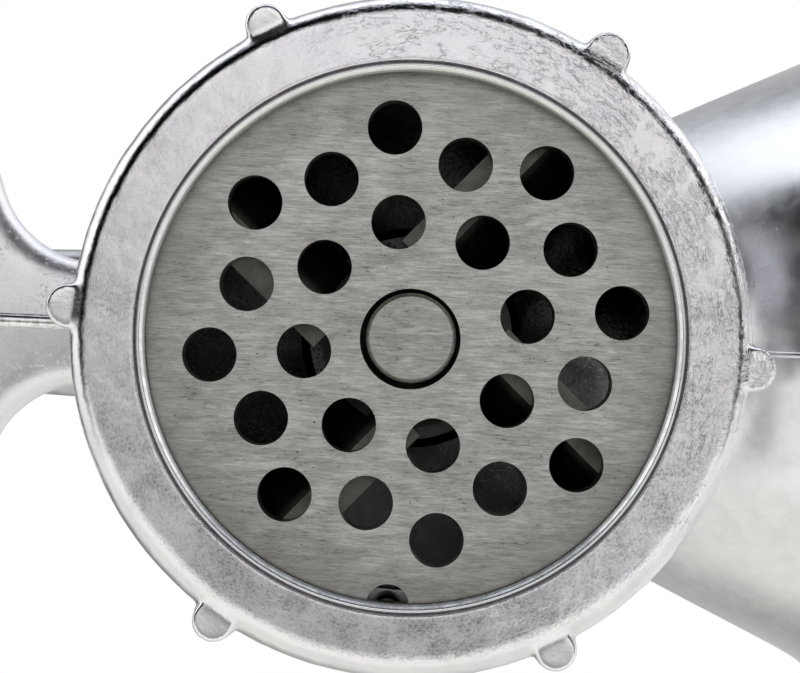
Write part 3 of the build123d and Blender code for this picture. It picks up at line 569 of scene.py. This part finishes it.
def black_rubber():
    """Moulded rubber with a dusty grain."""
    made = Recipe("moulded_rubber", Metallic=0.0)
    grain = made.noise(0.35, detail=3)
    dust = made.noise(5, detail=5)
    made.colour(made.ramp(dust, (0.4, (0.018, 0.018, 0.019)), (0.7, (0.055, 0.054, 0.052))))
    made.rough(made.span(grain, 0.3, 0.7, 0.62, 0.82))
    made.bump(grain, 0.05)
    return made.material


def sintered_bronze():
    """Porous bronze, pressed and sintered."""
    made = Recipe("sintered_bronze", Metallic=1.0)
    grain = made.noise(0.3, detail=3)
    made.colour(made.ramp(grain, (0.35, (0.30, 0.19, 0.08)), (0.65, (0.62, 0.43, 0.20))))
    made.rough(made.span(grain, 0.3, 0.7, 0.36, 0.55))
    made.bump(grain, 0.02)
    return made.material


ring_cast = ring_metal()
lip_cut = lathe_cut_lip()
body_polished = polished_body()
body_satin = cast_aluminium("body_satin", light=(0.97, 0.95, 0.97), dark=(0.86, 0.84, 0.86),
                            rough=(0.28, 0.40), pit=0.4, wave=0.35, grime=0.0)
crank_cast = cast_aluminium("crank_cast", light=(0.74, 0.74, 0.75), dark=(0.48, 0.48, 0.49),
                            rough=(0.28, 0.46), pit=0.7, wave=0.7, grime=0.3)
# Inside the barrel the screw and the bore have dark tones as painted shade, with grease near the cutters.
screw_cast = cast_aluminium("screw_cast", light=(0.62, 0.62, 0.63), dark=(0.36, 0.36, 0.36),
                            rough=(0.34, 0.52), pit=0.8, wave=0.6, grime=0.5,
                            grease_and_shade_until=PLATE_FRONT_Y + 26)
bore_cast = cast_aluminium("bore_cast", light=(0.30, 0.29, 0.28), dark=(0.14, 0.135, 0.13),
                           rough=(0.35, 0.55), pit=0.6, wave=0.5, grime=0.3,
                           grease_and_shade_until=PLATE_FRONT_Y + 30)
neck_cut = machined_edge("neck_cut", tone=(0.80, 0.80, 0.81), rough=(0.22, 0.40))
bead_worn = machined_edge("bead_worn", tone=(0.98, 0.98, 0.98), rough=(0.14, 0.24))
hole_rim = machined_edge("hole_rim", tone=(0.16, 0.155, 0.15), rough=(0.3, 0.5))
plate_face = brushed_steel("brushed_plate", light=1.15, painted_lip_shade=True)
stud_face = brushed_steel("stud_steel", light=1.02, painted_lip_shade=False,
                          grease_and_shade_from=node_box("drive_stud")[0][1])
# The knife's dark tone is painted shade behind the plate; behind its front it turns near-black for grease
# and painted shade.
knife_steel = ground_steel("knife_steel", tone=(0.15, 0.143, 0.13), rough=(0.28, 0.44),
                           grease_and_shade_from=PLATE_FRONT_Y + 7.1)
# Painted shade: the plate key is near-black because it sits in the dark notch.
key_in_painted_shade = ground_steel("key_in_painted_shade", tone=(0.10, 0.097, 0.09), rough=(0.22, 0.38))
zinc = zinc_plate()
beech = turned_wood()
rubber = black_rubber()
bronze = sintered_bronze()

# ---- Ring nut: cast ring with six lugs, its lip and thread cut on a lathe -----------------------


def rounded_box(a, b, middle, half, radius):
    """Distance to a box in a plane, with rounded corners."""
    da = np.abs(a - middle[0]) - half[0] + radius
    db = np.abs(b - middle[1]) - half[1] + radius
    outside = np.hypot(np.maximum(da, 0), np.maximum(db, 0))
    return outside + np.minimum(np.maximum(da, db), 0) - radius


def make_ring():
    """The ring nut, sampled finely where its face is and coarsely inside the thread."""
    samples = 660
    angles = np.arange(samples) * 2 * math.pi / samples
    radii = spaced((28.3, 30.6, 0.16), (30.6, 36.4, 0.36), (36.4, 41.6, 0.27))
    ys = spaced((RING_FRONT_Y - 0.7, PLATE_FRONT_Y + 0.6, 0.2),
                (PLATE_FRONT_Y + 0.6, RING_BACK_Y - 1.5, 0.62),
                (RING_BACK_Y - 1.5, RING_BACK_Y + 0.9, 0.3))
    angle, radius, y = np.meshgrid(angles, radii, ys, indexing="ij")
    # The casting: a ring with rounded edges, then the lugs run into it with fillets.
    inner = OPENING_R - 4
    middle = ((RING_R + inner) / 2, (RING_FRONT_Y + RING_BACK_Y) / 2)
    half = ((RING_R - inner) / 2, (RING_BACK_Y - RING_FRONT_Y) / 2)
    worn = smooth_step(radius * np.cos(angle), 4.0, 22.0)
    edge = np.where(y < middle[1], EDGE_R + EDGE_WEAR * worn, BACK_EDGE_R)
    in_front = 1 - smooth_step(y, PLATE_FRONT_Y, PLATE_FRONT_Y + 8)
    fall = FACE_SLOPE * np.maximum(radius - GROOVE_R - GROOVE_HALF, 0) * in_front
    cast = rounded_box(radius, y - fall, middle, half, edge)
    step = 2 * math.pi / LUGS
    near = (angle - math.radians(LUG_ANGLE) + step / 2) % step - step / 2
    which = np.round((angle - math.radians(LUG_ANGLE) - near) / step).astype(int) % LUGS
    across = radius * np.sin(near) + np.array(LUG_LEANS)[which]
    out = radius * np.cos(near) - LUG_CENTRE_R
    along = np.clip((y - LUG_FRONT_Y) / (RING_BACK_Y - LUG_FRONT_Y), 0, 1)
    lug_r = (LUG_RADII[0] + (LUG_RADII[1] - LUG_RADII[0]) * along) * np.array(LUG_SIZES)[which]
    half_length = (LUG_BACK_Y - LUG_FRONT_Y) / 2
    middle = (0, LUG_FRONT_Y + half_length)
    lug = rounded_box(np.hypot(across, out), y, middle, (lug_r, half_length), LUG_EDGE_R)
    cast = smooth_union(cast, lug, LUG_FILLET)
    # Lathe work: the opening, its chamfer and groove, the plate's seat and the thread.
    opening = OPENING_R - radius
    chamfer = ((OPENING_R + CHAMFER - radius) - (y - RING_FRONT_Y)) / math.sqrt(2)
    groove = GROOVE_HALF - np.hypot(radius - GROOVE_R, (y - RING_FRONT_Y) * 0.5)
    begun = smooth_step(y, PLATE_FRONT_Y + 1, PLATE_FRONT_Y + 3)
    thread = THREAD_DEPTH * thread_root(angle, y) * begun
    bore = np.minimum(RING_BORE_R + thread - radius, y - PLATE_FRONT_Y + 0.05)
    field = np.maximum.reduce([cast, opening, chamfer, groove, bore])
    points, faces, radius, y = turned_surface(field, angles, radii, ys)
    # Unevenness left by the mould, only where nothing was cut afterwards.
    is_cast = (radius > GROOVE_R + GROOVE_HALF) & ((y < PLATE_FRONT_Y - 0.6) | (radius > 36.0))
    normals = vertex_normals(points, faces)
    swell = value_noise(points, size=9.0, octaves=2, seed=1.0)
    lumps = value_noise(points, size=2.2, octaves=3, seed=5.0)
    relief = 0.06 * swell + 0.035 * lumps
    points = points + normals * (relief * is_cast)[:, None]
    indices = np.where(is_cast[faces].all(axis=1), 0, 1)
    ring = make_piece("ring_nut_cast", points, faces, [ring_cast, lip_cut], "ring", indices)
    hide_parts("ring_nut")


make_ring()

# ---- Body casting: the CAD shape with cast fillets, and its neck cut on a lathe -------------------


def level_set(points, faces, band):
    """A distance field round a closed mesh."""
    transform = openvdb.createLinearTransform(VOXEL)
    return openvdb.FloatGrid.createLevelSetFromPolygons(points, transform=transform, halfWidth=band, **faces)


def moved_surface(grid, offset):
    """The surface this far outside a field's own, as points and faces."""
    points, triangles, quads = grid.convertToPolygons(isovalue=offset)
    return points, {"triangles": triangles, "quads": quads}


def as_array(grid):
    """A field's values, and the positions of its samples along each axis."""
    low, high = grid.evalActiveVoxelBoundingBox()
    field = np.empty(tuple(b - a + 1 for a, b in zip(low, high)), dtype=np.float32)
    grid.copyToArray(field, ijk=low)
    return field, [np.arange(a, b + 1, dtype=np.float32) * VOXEL for a, b in zip(low, high)], low


def blurred(field, rounds):
    """The field, averaged with its neighbours along each axis, this many times."""
    for axis in rounds * (0, 1, 2):
        field = (np.roll(field, 1, axis) + 2 * field + np.roll(field, -1, axis)) / 4
    return field


def cad_surface(node):
    """A CAD node's points in millimetres, and its triangles."""
    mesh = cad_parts[node].data
    points = np.empty(3 * len(mesh.vertices), dtype=np.float32)
    mesh.vertices.foreach_get("co", points)
    mesh.calc_loop_triangles()
    triangles = np.empty(3 * len(mesh.loop_triangles), dtype=np.int32)
    mesh.loop_triangles.foreach_get("vertices", triangles)
    return points.reshape(-1, 3) / np.float32(MM), {"triangles": triangles.reshape(-1, 3).astype(np.uint32)}


def ridge(name, hull, heights, side, half_width, proud, material):
    """A low rounded ridge up the middle of the casting, laid on the surface that faces this side."""
    hits = [hull.ray_cast(Vector((0, side * 200, height)), Vector((0, -side, 0))) for height in heights]
    hits = [(hit, normal) for hit, normal, _, _ in hits if hit is not None]
    sides = 14
    points = []
    for hit, normal in hits:
        for k in range(sides):
            turn = 2 * math.pi * k / sides
            out = half_width * math.sin(turn) - half_width + proud
            place = Vector((half_width * math.cos(turn), hit.y, hit.z))
            points.append(place + out * Vector((0, normal.y, normal.z)))
    faces = []
    for row in range(0, sides * (len(hits) - 1), sides):
        for k in range(sides):
            after = (k + 1) % sides
            faces.append((row + k, row + after, row + sides + after, row + sides + k))
    points = np.array(points)
    faces = face_outwards(points - points.mean(axis=0), np.array(faces))
    piece = make_piece(name, points, faces, [material], "frame")
    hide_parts("body_casting")


def make_body():
    """The casting behind the neck, in two pieces, with its bead and parting lines."""
    points, faces = cad_surface("body_casting")
    band = (CAST_FILLET + CAST_EDGE_R) / VOXEL + 3
    # Inner corners are filled by growing the shape and shrinking it again.
    points, faces = moved_surface(level_set(points, faces, band), CAST_FILLET)
    field, (xs, ys, zs), low = as_array(level_set(points, faces, band))
    field = field + np.float32(CAST_FILLET)
    x, y, z = xs[:, None, None], ys[None, :, None], zs[None, None, :]
    # The leg's front falls away to both sides of its middle like a shallow roof.
    roof = y - LEG_FRONT_Y - ROOF_SLOPE * np.sqrt(x * x + ROOF_CREST)
    field = np.maximum(field, -np.maximum(roof, z - LEG_TOP_Z)).astype(np.float32)
    grid = openvdb.FloatGrid(band * VOXEL)
    grid.transform = openvdb.createLinearTransform(VOXEL)
    grid.copyFromArray(field, ijk=low)
    # Outer edges are rounded the other way about.
    points, faces = moved_surface(grid, -CAST_EDGE_R)
    field, (xs, ys, zs), low = as_array(level_set(points, faces, band))
    # The neck in front of the collar is a piece of its own.
    from_axis = np.hypot(xs[:, None, None], zs[None, None, :] - AXIS_Z)
    neck = np.minimum(COLLAR_FRONT_Y - ys[None, :, None], NECK_CUT_R - from_axis)
    field = np.maximum(blurred(field - CAST_EDGE_R, rounds=3), neck)
    far_away = 3.0
    grid = openvdb.FloatGrid(far_away)
    grid.copyFromArray(field.astype(np.float32))
    points, quads = grid.convertToQuads()
    points = points.astype(float) * VOXEL + (xs[0], ys[0], zs[0])
    quads = face_outwards(points - points.mean(axis=0), quads.astype(np.int64))
    swell = 0.05 * value_noise(points, size=15.0, octaves=2, seed=3.0)
    points = points + vertex_normals(points, quads) * swell[:, None]
    normals = calmed(vertex_normals(points, quads), quads)
    # Inside the bore, below the barrel, and the rest each have a finish.
    finishes = [body_polished, bore_cast, body_satin]
    centres = points[quads].mean(axis=1)
    from_axis = np.hypot(centres[:, 0], centres[:, 2] - AXIS_Z)
    slack = 0.6
    inside = (from_axis < BORE_R + slack) & (centres[:, 1] < REAR_WALL_Y + slack)
    kinds = np.where(inside, 1, np.where(centres[:, 2] < BELOW_BARREL_Z, 2, 0))
    upper = centres[:, 2] > SPLIT_Z
    for name, chosen in (("casting_hopper", upper), ("casting_barrel_and_clamp", ~upper)):
        used, faces = np.unique(quads[chosen], return_inverse=True)
        piece = make_piece(name, points[used], faces.reshape(-1, 4), finishes, "frame",
                           kinds[chosen])
        piece.data.normals_split_custom_set_from_vertices(normals[used].tolist())
        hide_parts("body_casting")
    hull = BVHTree.FromPolygons(points.tolist(), quads.tolist())
    leg = np.arange(FOOT_TOP_Z + 0.5, LEG_TOP_Z, 0.5)
    ridge("leg_bead", hull, leg, -1, BEAD_HALF, BEAD_HEIGHT, bead_worn)
    hopper = np.arange(THROAT_Z, RIM_Z, 0.6)
    ridge("parting_line_front", hull, hopper, -1, SEAM_HALF, SEAM_HEIGHT, body_polished)
    ridge("parting_line_back", hull, hopper, 1, SEAM_HALF, SEAM_HEIGHT, body_polished)


def make_neck():
    """The front of the barrel: outer thread for the ring nut, and the recess for the plate."""
    samples = 600
    angles = np.arange(samples) * 2 * math.pi / samples
    radii = spaced((27.3, 28.5, 0.3), (28.5, 30.8, 0.5), (30.8, 31.6, 0.2), (31.6, 34.8, 0.35))
    ys = spaced((MOUTH_Y - 0.6, MOUTH_Y + 1.2, 0.2), (MOUTH_Y + 1.2, SEAT_Y - 0.4, 0.4),
                (SEAT_Y - 0.4, SEAT_Y + 0.4, 0.2), (SEAT_Y + 0.4, COLLAR_FRONT_Y + 2.8, 0.5))
    angle, radius, y = np.meshgrid(angles, radii, ys, indexing="ij")
    begun = smooth_step(y, MOUTH_Y + 0.5, MOUTH_Y + 2.5)
    ended = smooth_step(y, COLLAR_FRONT_Y - 4.5, COLLAR_FRONT_Y - 3)
    thread = THREAD_HEIGHT * (1 - thread_root(angle, y)) * (begun * (1 - ended))
    outer = radius - NECK_R - thread
    lead = (radius - NECK_R + 0.8 - (y - MOUTH_Y)) / math.sqrt(2)
    ends = np.maximum(MOUTH_Y - y, y - COLLAR_FRONT_Y - 2)
    inner = np.maximum(BORE_R - radius, np.minimum(SEAT_R - radius, SEAT_Y - y))
    field = np.maximum.reduce([outer, lead, ends, inner])
    points, faces, _, _ = turned_surface(field, angles, radii, ys)
    neck = make_piece("casting_neck", points, faces, [neck_cut], "frame")
    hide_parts("body_casting")


make_body()
make_neck()

# ---- CAD pieces: edges broken and materials given -------------------------------------------------


def dress(node, material, width, rim=None, segments=2):
    """Gives a CAD node its material and breaks its edges by width millimetres, in the rim's finish."""
    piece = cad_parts[node]
    piece.data.materials.clear()
    piece.data.materials.append(material)
    edge = piece.modifiers.new("broken_edges", "BEVEL")
    edge.width = width * MM
    edge.segments = segments
    edge.limit_method = "ANGLE"
    edge.angle_limit = math.radians(35)
    if rim is not None:
        piece.data.materials.append(rim)
        edge.material = 1


dress("cutting_plate", plate_face, 0.14, rim=hole_rim)
dress("knife", knife_steel, 0.12)
dress("drive_stud", stud_face, 0.32, segments=3)
dress("feed_screw", screw_cast, 0.3)
dress("crank_arm", crank_cast, 0.35)
for node in ("thumb_screw", "thumb_washer", "thrust_washer",
             "grip_pin", "grip_washers", "grip_ferrule",
             "clamp_screw", "tommy_bar", "tommy_bar_caps", "pressure_pad", "pad_retaining_ring"):
    dress(node, zinc, 0.1)
dress("plate_key", key_in_painted_shade, 0.2)
dress("grip", beech, 0.2)
dress("jaw_rubber", rubber, 0.3)
dress("pad_rubber", rubber, 0.3)
dress("rear_bush", bronze, 0.1)

# ---- Stage, light and camera ----------------------------------------------------------------------


def make_floor():
    """A pale disc under the object, in metres, which fades into the background."""
    rings, spokes, reach = 24, 96, 1.2
    fade_from, fade_to = 0.6, 1.15
    gap = 0.001
    points = [(0.0, 0.0, 0.0)]
    faces = []
    for ring in range(1, rings + 1):
        radius = reach * ring / rings
        for spoke in range(spokes):
            turn = 2 * math.pi * spoke / spokes
            points.append((radius * math.cos(turn), radius * math.sin(turn), 0.0))
    for spoke in range(spokes):
        faces.append((0, 1 + spoke, 1 + (spoke + 1) % spokes))
    for ring in range(rings - 1):
        for spoke in range(spokes):
            a = 1 + ring * spokes + spoke
            b = 1 + ring * spokes + (spoke + 1) % spokes
            faces.append((a, a + spokes, b + spokes, b))
    mesh = bpy.data.meshes.new("floor")
    mesh.from_pydata(points, [], faces)
    made = Recipe("pale_floor", Roughness=0.9)
    made.shader.inputs["Specular IOR Level"].default_value = 0.1
    distance = made.add("VectorMath", {0: made.coordinates}, operation="LENGTH")[1]
    fade = made.span(distance, fade_from, fade_to, 1.0, 0.0)
    made.tree.links.new(fade, made.shader.inputs["Alpha"])
    made.colour(made.ramp(made.noise(60, detail=2), (0.3, (0.80, 0.80, 0.80)), (0.7, (0.84, 0.84, 0.84))))
    mesh.materials.append(made.material)
    floor = bpy.data.objects.new("floor", mesh)
    bpy.context.scene.collection.objects.link(floor)
    floor.location.z = cad_box[0][2] - gap
    floor.visible_glossy = False


def make_world():
    """A white backdrop to the eye; to the metal, a studio with soft boxes and black flags."""
    world = bpy.data.worlds.new("studio")
    world.use_nodes = True
    bpy.context.scene.world = world
    world.node_tree.nodes.clear()
    sky = Nodes(world.node_tree)
    direction = sky.add("TexCoord", {})["Generated"]
    x, y, z = sky.add("SeparateXYZ", {0: direction})[:3]

    def towards(*vector):
        unit = Vector(vector).normalized()
        return sky.add("VectorMath", {0: direction, 1: unit}, operation="DOT_PRODUCT")[1]

    def lerp(factor, a, b):
        kept = sky.math("MULTIPLY", a, sky.math("SUBTRACT", 1.0, factor))
        return sky.math("ADD", kept, sky.math("MULTIPLY", b, factor))

    def smooth(value, low, high, to_low=0.0, to_high=1.0):
        return sky.span(value, low, high, to_low, to_high, "SMOOTHSTEP")

    # In front of the plate: brightest towards -X and up, darkest opposite.
    dim, bright = 0.23, 1.06
    front = smooth(towards(-0.97, 0, 0.22), -0.42, 0.42, dim, bright)
    # Round it: black flags over the -X half, parted in the middle, and a white card over the +X half.
    black, upper_black, card = 0.015, 0.04, 0.95
    off_axis = smooth(sky.math("ABSOLUTE", z), 0.06, 0.24)
    off_axis = sky.math("MAXIMUM", off_axis, sky.span(x, -0.75, -0.5, 1.0, 0.0))
    flag = sky.math("MULTIPLY", off_axis, smooth(x, -0.05, 0.30, 1.0, 0.0))
    band = lerp(flag, card, sky.span(z, 0.0, 0.3, black, upper_black))
    # Beside and behind: the lit backdrop.
    beside = smooth(x, -0.6, 0.6, 1.30, 0.78)
    behind = smooth(z, -0.8, 0.9, 0.16, 0.95)
    light = lerp(smooth(y, -0.88, -0.78), front, band)
    # Far towards -X the black flag reaches further back.
    reach = sky.math("SUBTRACT", y, sky.math("MULTIPLY", sky.span(x, -0.75, -0.35, 0.22, 0.0), flag))
    light = lerp(smooth(reach, -0.36, -0.25), light, beside)
    light = lerp(smooth(y, 0.30, 0.75), light, behind)
    # Cool light from -X, warmer light from +X.
    cool = sky.span(x, -0.75, -0.35, 1.0, 0.0)
    warm = sky.span(x, 0.35, 0.75)
    tint = sky.add("CombineColor", {"Red": lerp(cool, 1.0, 0.92), "Green": lerp(cool, 1.0, 0.96),
                                    "Blue": lerp(cool, lerp(warm, 1.0, 0.955), 1.03)})[0]
    studio = sky.add("Background", {"Color": tint, "Strength": light})[0]
    white = sky.add("Background", {"Color": (1, 1, 1, 1), "Strength": 1.0})[0]
    eye = sky.add("LightPath", {})["Is Camera Ray"]
    mixed = sky.add("MixShader", {0: eye, 1: studio, 2: white})[0]
    sky.add("OutputWorld", {"Surface": mixed})


def make_camera():
    """Looks along +Y at the ring, turned so that the hopper points to the picture's right."""
    data = bpy.data.cameras.new("camera")
    camera = bpy.data.objects.new("camera", data)
    bpy.context.scene.collection.objects.link(camera)
    right = Vector((-math.sin(CAMERA_ROLL), 0, math.cos(CAMERA_ROLL)))
    back = Vector((0, -1, 0))
    up = back.cross(right)
    camera.matrix_world = Matrix((
        (right.x, up.x, back.x, 0),
        (right.y, up.y, back.y, PLATE_FRONT_Y * MM - CAMERA_DISTANCE),
        (right.z, up.z, back.z, AXIS_Z * MM),
        (0, 0, 0, 1),
    ))
    data.sensor_width = 36
    data.lens = CAMERA_LENS
    data.clip_start = 0.01
    data.shift_x, data.shift_y = CAMERA_SHIFT
    bpy.context.scene.camera = camera


make_floor()
make_world()
make_camera()
bpy.context.scene.view_settings.view_transform = "Standard"
